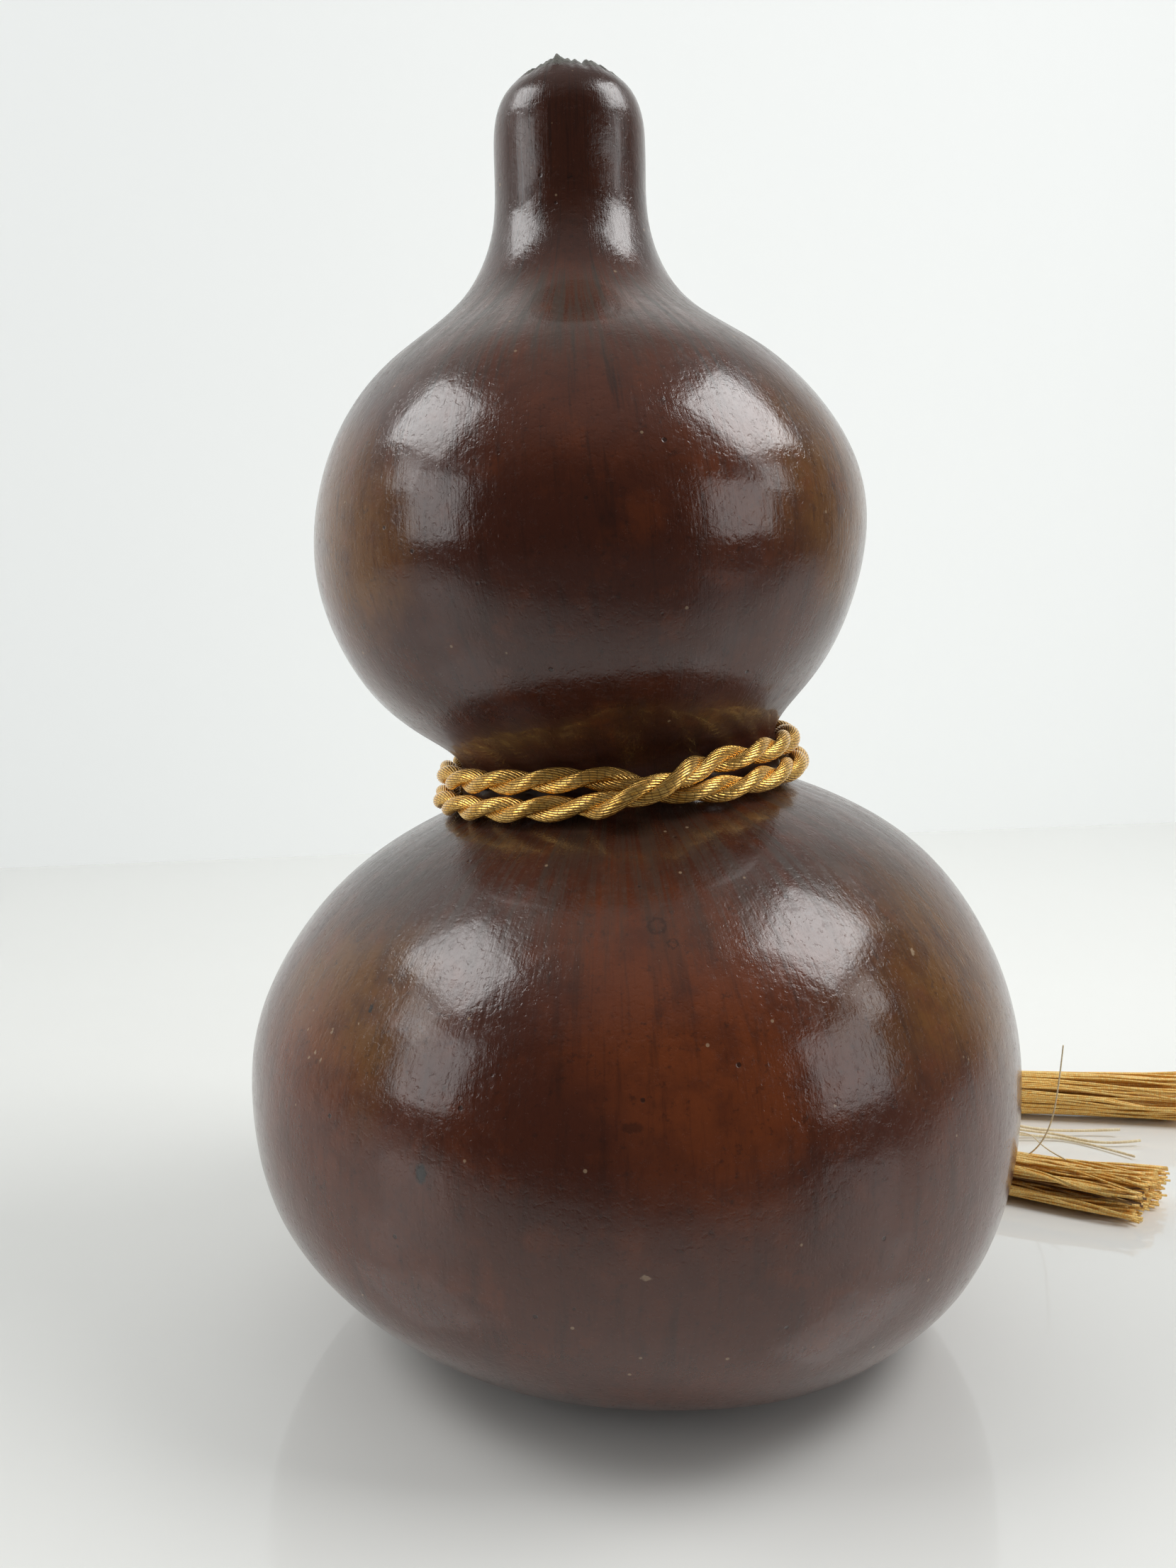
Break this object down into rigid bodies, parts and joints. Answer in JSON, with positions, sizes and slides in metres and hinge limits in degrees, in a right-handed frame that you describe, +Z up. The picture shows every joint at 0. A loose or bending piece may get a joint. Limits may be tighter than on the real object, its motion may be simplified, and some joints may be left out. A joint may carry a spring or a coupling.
{
  "type": "dried bottle gourd with tassel cord",
  "caption": "Hollow two-bulb dried gourd standing on its foot, a twisted gold cord tied round its waist and tassels lying behind it.",
  "frame": {"origin": "on the supporting surface, under the middle of the lower bulb", "axes": "+Z up along the gourd, -Y towards the front where the cord crosses itself, +X to the side where the tassels lie"},
  "size_m": [0.2362, 0.1776, 0.2396],
  "materials": {
    "gourd_skin": "glossy lacquered dark red-brown dried rind, mottled with amber",
    "gold_cord": "twisted cord wound with metallic gold thread",
    "gold_threads": "loose metallic gold threads"
  },
  "bodies": {
    "root": {"gourd": "gourd_skin", "waist_cord": "gold_cord", "tail_near": "gold_cord", "tail_far": "gold_cord", "tassel_near_threads": "gold_threads", "tassel_near_band": "gold_cord", "tassel_far_threads": "gold_threads", "tassel_far_band": "gold_cord"}
  },
  "joints": []
}
